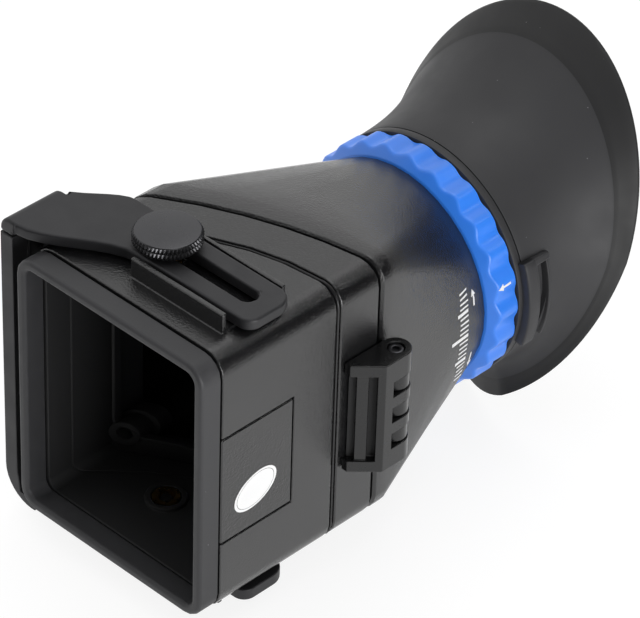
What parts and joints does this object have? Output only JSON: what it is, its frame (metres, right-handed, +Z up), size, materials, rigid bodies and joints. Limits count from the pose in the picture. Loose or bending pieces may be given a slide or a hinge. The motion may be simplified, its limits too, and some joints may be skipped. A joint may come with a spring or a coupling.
{
  "type": "lcd viewfinder loupe",
  "caption": "Camera screen loupe: rubber-hooded box with a slotted clamp bracket, hinged tapering cone, scalloped diopter ring that focuses the lens, and a slanted rubber eyecup.",
  "frame": {"origin": "middle of the part's footprint, at the height of the lower thumb screw's face", "axes": "+Y from the screen hood to the eyecup along the optical axis, +Z up, +X towards the cone's hinge"},
  "size_m": [0.0774, 0.1481, 0.093],
  "materials": {
    "hood_rubber": "matt moulded silicone rubber",
    "shell_abs": "fine spark-textured ABS",
    "inner_black": "flat black, anti-reflex",
    "gasket_rubber": "smooth black seal",
    "side_cover_abs": "smooth satin ABS",
    "brass_insert": "turned brass",
    "black_steel": "blackened steel screw",
    "bracket_alloy": "black bead-blasted anodised aluminium",
    "knob_alloy": "black anodised knurled aluminium",
    "hinge_nylon": "satin glass-filled nylon",
    "steel_pin": "ground steel",
    "ring_blue": "moulded blue ABS",
    "cell_alloy": "black anodised aluminium",
    "lens_glass": "coated optical glass",
    "cup_rubber": "matt moulded silicone rubber"
  },
  "bodies": {
    "screen_box": {"screen_hood": "hood_rubber", "front_shell": "shell_abs", "side_cover": "side_cover_abs", "shell_gasket": "gasket_rubber", "rear_frame": "shell_abs", "light_baffle": "inner_black", "baffle_screw_1": "black_steel", "baffle_screw_2": "black_steel", "baffle_screw_3": "black_steel", "baffle_screw_4": "black_steel", "threaded_insert_top": "brass_insert", "threaded_insert_bottom": "brass_insert", "hinge_fixed_leaf": "hinge_nylon", "hinge_pin": "steel_pin", "hinge_screw_1": "black_steel", "hinge_screw_2": "black_steel"},
    "bracket": {"bracket_frame": "bracket_alloy", "bracket_top_arm": "bracket_alloy", "bracket_screw_1": "black_steel", "bracket_screw_2": "black_steel"},
    "thumb_top": {"thumb_screw_top": "knob_alloy"},
    "thumb_bottom": {"thumb_screw_bottom": "knob_alloy"},
    "cone": {"cone_housing": "shell_abs", "hinge_moving_leaf": "hinge_nylon", "hinge_screw_3": "black_steel", "hinge_screw_4": "black_steel", "eyepiece_tube": "inner_black", "tube_screw_1": "black_steel", "tube_screw_2": "black_steel", "tube_screw_3": "black_steel", "eyecup_mount": "inner_black"},
    "focus_ring": {"diopter_ring": "ring_blue"},
    "lens_group": {"lens_cell": "cell_alloy", "guide_pin_1": "steel_pin", "guide_pin_2": "steel_pin", "guide_pin_3": "steel_pin", "front_lens": "lens_glass", "lens_spacer": "cell_alloy", "rear_lens": "lens_glass", "retaining_ring": "cell_alloy"},
    "cup": {"eyecup": "cup_rubber"}
  },
  "joints": [
    {"name": "bracket_slide", "type": "slide", "parent": "screen_box", "child": "bracket", "axis": [1, 0, 0], "range_m": [-0.024, 0.002]},
    {"name": "thumb_turn_top", "type": "hinge", "parent": "screen_box", "child": "thumb_top", "pos_m": [-0.0047, -0.05083, 0.0445], "axis": [0, 0, 1], "range_deg": [0, 720]},
    {"name": "thumb_turn_bottom", "type": "hinge", "parent": "screen_box", "child": "thumb_bottom", "pos_m": [-0.0047, -0.05083, 0.0445], "axis": [0, 0, -1], "range_deg": [0, 720]},
    {"name": "cone_hinge", "type": "hinge", "parent": "screen_box", "child": "cone", "pos_m": [0.0343, -0.01673, 0.0445], "axis": [0, 0, -1], "range_deg": [0, 120]},
    {"name": "diopter_turn", "type": "hinge", "parent": "cone", "child": "focus_ring", "pos_m": [-0.0019, 0.02186, 0.0429], "axis": [0, 1, 0], "range_deg": [-27, 27]},
    {"name": "lens_focus", "type": "slide", "parent": "cone", "child": "lens_group", "axis": [0, 1, 0], "range_m": [-0.003, 0.003]},
    {"name": "eyecup_turn", "type": "hinge", "parent": "cone", "child": "cup", "pos_m": [-0.0019, 0.02186, 0.0429], "axis": [0, 1, 0], "continuous": true}
  ],
  "couplings": [
    {"joint": "diopter_turn", "follows": "lens_focus", "rad_per_m": 157}
  ]
}
